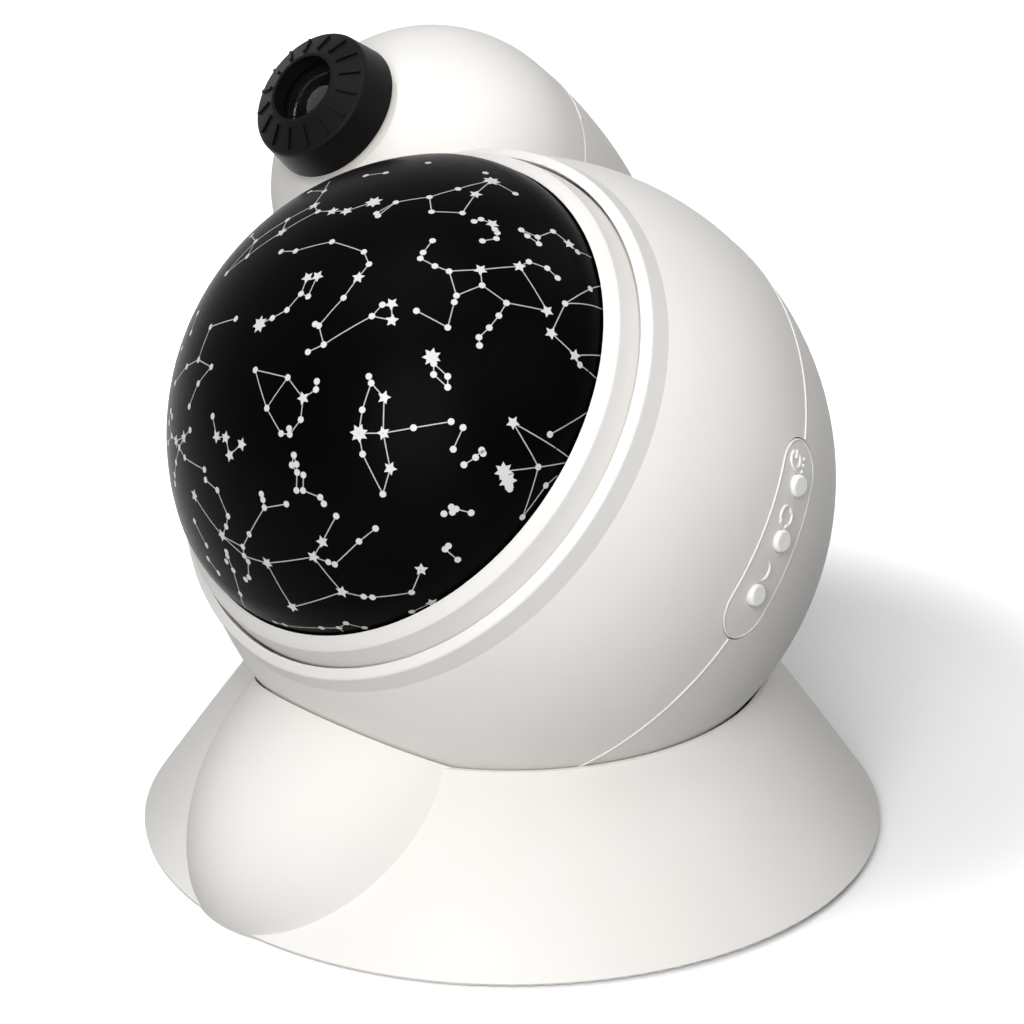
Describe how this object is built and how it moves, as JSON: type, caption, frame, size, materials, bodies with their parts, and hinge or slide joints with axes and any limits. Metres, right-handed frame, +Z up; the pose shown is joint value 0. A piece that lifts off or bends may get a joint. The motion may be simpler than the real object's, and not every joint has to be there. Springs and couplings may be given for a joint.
{
  "type": "planetarium projector",
  "caption": "Tabletop star projector: a ball-shaped head with a turning black star dome and a side pod that projects the moon, tilting and swivelling in a flared round base.",
  "frame": {"origin": "middle of the round footprint, on the surface that the base stands on", "axes": "+Z up, the star dome faces -Y, the buttons are on the +X side and the moon pod on the -X side"},
  "size_m": [0.1777, 0.1785, 0.1597],
  "materials": {
    "acetal": "natural acetal",
    "black_barrel": "matte moulded ABS",
    "black_ring": "fine-textured moulded ABS",
    "cell_wrap": "shrink film over a steel can",
    "circuit_board": "glass-epoxy laminate with green resist",
    "film": "photographic film",
    "grey_frame": "moulded ABS",
    "led": "phosphor-coated LED",
    "lens_glass": "clear moulded acrylic",
    "rubber_pad": "moulded rubber",
    "star_dome": "gloss moulded acrylic, black printed with clear stars",
    "steel": "zinc-plated steel",
    "switch_body": "moulded nylon",
    "white_button": "gloss moulded ABS",
    "white_panel": "satin moulded ABS",
    "white_shell": "satin moulded ABS"
  },
  "bodies": {
    "base": {"base_shell": "white_shell", "base_cover": "white_shell", "foot_pad": "rubber_pad", "cover_screws": "steel"},
    "cup": {"swivel_cup": "grey_frame", "thrust_washer": "acetal", "friction_pads": "rubber_pad", "pivot_stud": "steel", "tilt_saddle": "acetal", "spring_washers": "steel", "tilt_nut": "steel"},
    "ball": {"front_shell": "white_shell", "rear_shell": "white_shell", "shell_screws": "steel", "deck": "grey_frame", "deck_screws": "steel", "drive_motor": "steel", "lamp_post": "steel", "star_led_board": "circuit_board", "star_led": "led", "main_board": "circuit_board", "board_screws": "steel", "battery_holder": "black_barrel", "battery_cell": "cell_wrap", "usb_board": "circuit_board", "usb_socket": "steel", "button_panel": "white_panel", "switch_board": "circuit_board", "tact_switches": "switch_body", "switch_screws": "steel", "lens_barrel": "black_barrel", "slide_frame": "black_barrel", "moon_slide": "film", "condenser_lens": "lens_glass", "moon_led_board": "circuit_board", "moon_led": "led", "led_screws": "steel"},
    "dome": {"bezel_ring": "white_shell", "star_dome": "star_dome", "drive_gear": "acetal"},
    "pinion": {"pinion": "acetal"},
    "focus_ring": {"focus_ring": "black_ring"},
    "lens_cell": {"lens_cell": "black_barrel", "objective_lens": "lens_glass"},
    "light_button": {"light_button": "white_button"},
    "turn_button": {"turn_button": "white_button"},
    "moon_button": {"moon_button": "white_button"}
  },
  "joints": [
    {"name": "swivel", "type": "hinge", "parent": "base", "child": "cup", "pos_m": [0, 0, 0.0053], "axis": [0, 0, 1], "continuous": true},
    {"name": "tilt", "type": "hinge", "parent": "cup", "child": "ball", "pos_m": [0, 0, 0.0773], "axis": [-1, 0, 0], "range_deg": [-7, 30]},
    {"name": "dome_spin", "type": "hinge", "parent": "ball", "child": "dome", "pos_m": [0, 0, 0.0773], "axis": [0, -0.7789, 0.6271], "continuous": true},
    {"name": "pinion_spin", "type": "hinge", "parent": "ball", "child": "pinion", "pos_m": [0.021, -0.04462, 0.06653], "axis": [0, -0.7789, 0.6271], "continuous": true},
    {"name": "focus_turn", "type": "hinge", "parent": "ball", "child": "focus_ring", "pos_m": [-0.0618, 0.03303, 0.12055], "axis": [0, -0.7789, 0.6271], "range_deg": [-90, 90]},
    {"name": "lens_slide", "type": "slide", "parent": "ball", "child": "lens_cell", "axis": [0, -0.7789, 0.6271], "range_m": [-0.0016, 0.0016]},
    {"name": "light_press", "type": "slide", "parent": "ball", "child": "light_button", "axis": [-0.9909, -0.0846, -0.105], "range_m": [0, 0.0008], "stiffness_N_per_m": 800},
    {"name": "turn_press", "type": "slide", "parent": "ball", "child": "turn_button", "axis": [-0.9909, -0.0846, -0.105], "range_m": [0, 0.0008], "stiffness_N_per_m": 800},
    {"name": "moon_press", "type": "slide", "parent": "ball", "child": "moon_button", "axis": [-0.9909, -0.0846, -0.105], "range_m": [0, 0.0008], "stiffness_N_per_m": 800}
  ],
  "couplings": [
    {"joint": "pinion_spin", "follows": "dome_spin", "ratio": 8},
    {"joint": "lens_slide", "follows": "focus_turn", "m_per_rad": 0.001}
  ]
}
